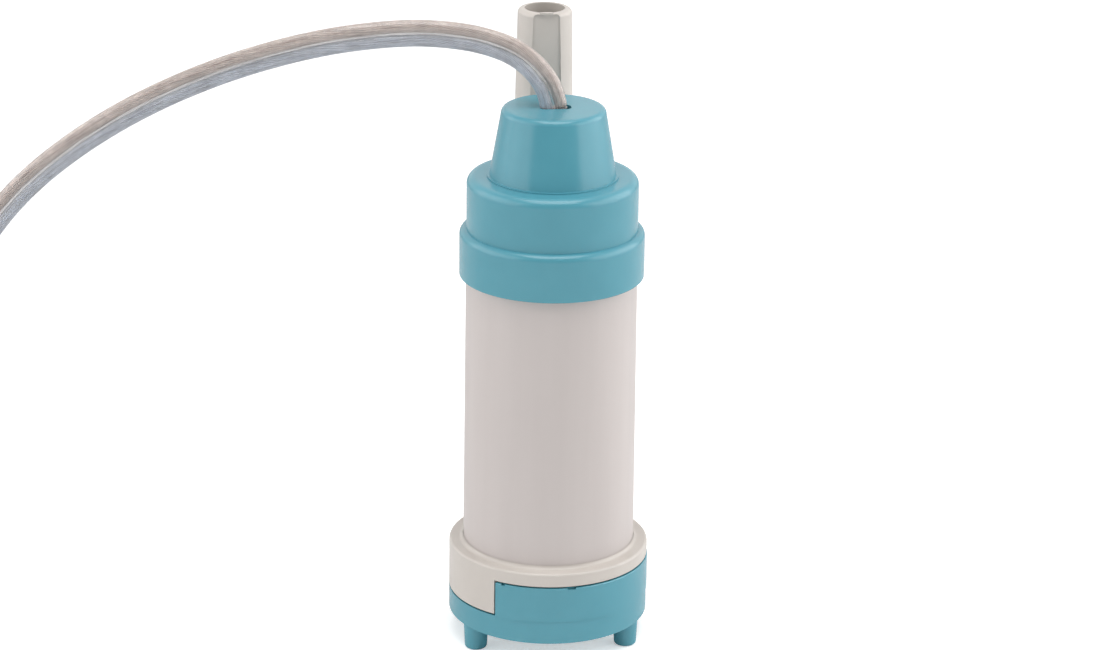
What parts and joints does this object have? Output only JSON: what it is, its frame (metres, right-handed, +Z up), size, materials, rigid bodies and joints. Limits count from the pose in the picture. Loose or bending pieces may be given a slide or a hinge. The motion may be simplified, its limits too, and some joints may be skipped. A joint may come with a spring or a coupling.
{
  "type": "caravan water pump",
  "caption": "Submersible 12 V tank pump: teal cap and strainer foot on a white tube, delivery pipe behind it, flat twin cable with bare ends.",
  "frame": {"origin": "on the floor that the three feet stand on, under the middle of the pump without its cable", "axes": "+Z up along the pump, -Y towards the front, +Y towards the delivery pipe, -X towards the cable"},
  "size_m": [0.2502, 0.0799, 0.1523],
  "materials": {
    "teal_plastic": "satin moulded ABS",
    "cream_plastic": "satin moulded ABS",
    "white_plastic": "satin tube",
    "grey_plastic": "moulded acetal",
    "black_rubber": "matte nitrile",
    "stainless_steel": "ground",
    "zinc_steel": "zinc plated",
    "core_steel": "stamped laminations",
    "ferrite": "sintered",
    "carbon": "pressed carbon",
    "copper_wire": "enamelled wire",
    "copper": "turned",
    "bronze": "sintered",
    "black_nylon": "moulded nylon",
    "brass": "stamped",
    "red_insulation": "satin PVC",
    "black_insulation": "satin PVC",
    "ceramic": "dipped ceramic",
    "clear_pvc": "clear PVC over stranded cores",
    "tinned_copper": "stranded wire"
  },
  "bodies": {
    "pump": {"bare_tips": "tinned_copper", "brush_arms": "brass", "cable_coil": "clear_pvc", "cable_inner": "clear_pvc", "cable_legs": "clear_pvc", "cable_seal_plug": "black_rubber", "delivery_pipe": "cream_plastic", "front_bearing": "bronze", "front_motor_ring": "black_rubber", "inlet_plate": "grey_plastic", "lead_negative": "black_insulation", "lead_positive": "red_insulation", "lower_tube_seal": "black_rubber", "motor_brushes": "carbon", "motor_can": "zinc_steel", "motor_end_bell": "black_nylon", "motor_magnets": "ferrite", "motor_terminals": "brass", "motor_tube": "white_plastic", "pipe_seal": "black_rubber", "plate_gasket": "black_rubber", "plate_screws": "stainless_steel", "pump_head": "cream_plastic", "rear_bearing": "bronze", "rear_motor_ring": "black_rubber", "seal_retainer": "stainless_steel", "seal_spring": "stainless_steel", "shaft_seal": "black_rubber", "supply_cable": "clear_pvc", "suppressor": "ceramic", "top_cap": "teal_plastic", "upper_tube_seal": "black_rubber"},
    "rotor": {"motor_shaft": "stainless_steel", "impeller": "grey_plastic", "impeller_clip": "stainless_steel", "armature_core": "core_steel", "armature_windings": "copper_wire", "commutator": "copper", "thrust_washers": "black_nylon"},
    "foot": {"strainer_foot": "teal_plastic"}
  },
  "joints": [
    {"name": "rotor_spin", "type": "hinge", "parent": "pump", "child": "rotor", "pos_m": [0, -0.0064, 0.05], "axis": [0, 0, 1], "continuous": true},
    {"name": "foot_pull_off", "type": "slide", "parent": "pump", "child": "foot", "axis": [0, 0, -1], "range_m": [0, 0.02]}
  ]
}
